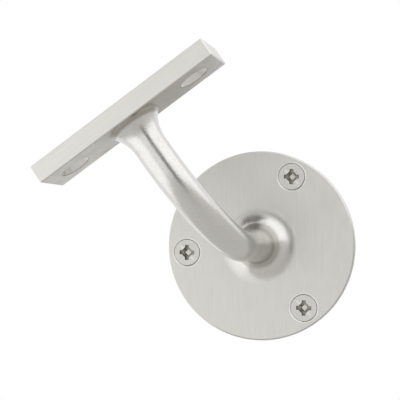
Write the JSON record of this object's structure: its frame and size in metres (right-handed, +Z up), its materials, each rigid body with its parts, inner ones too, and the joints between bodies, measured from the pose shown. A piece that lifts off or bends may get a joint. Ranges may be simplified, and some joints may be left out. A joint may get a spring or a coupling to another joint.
{
  "type": "handrail bracket",
  "caption": "Cast metal wall bracket for a handrail: round rose with countersunk wall screws, curved round arm and a flat saddle bar drilled for rail screws.",
  "frame": {"origin": "centre of the rose's back face, on the wall plane and on the axis of the screw circle", "axes": "+X along the handrail, +Y into the wall (the bracket stands out along -Y), +Z up"},
  "size_m": [0.076, 0.1278, 0.0972],
  "materials": {
    "satin_nickel": "satin",
    "screw_nickel": "satin"
  },
  "bodies": {
    "root": {"bracket_casting": "satin_nickel", "wall_screw_left": "screw_nickel", "wall_screw_right": "screw_nickel", "wall_screw_bottom": "screw_nickel"}
  },
  "joints": []
}
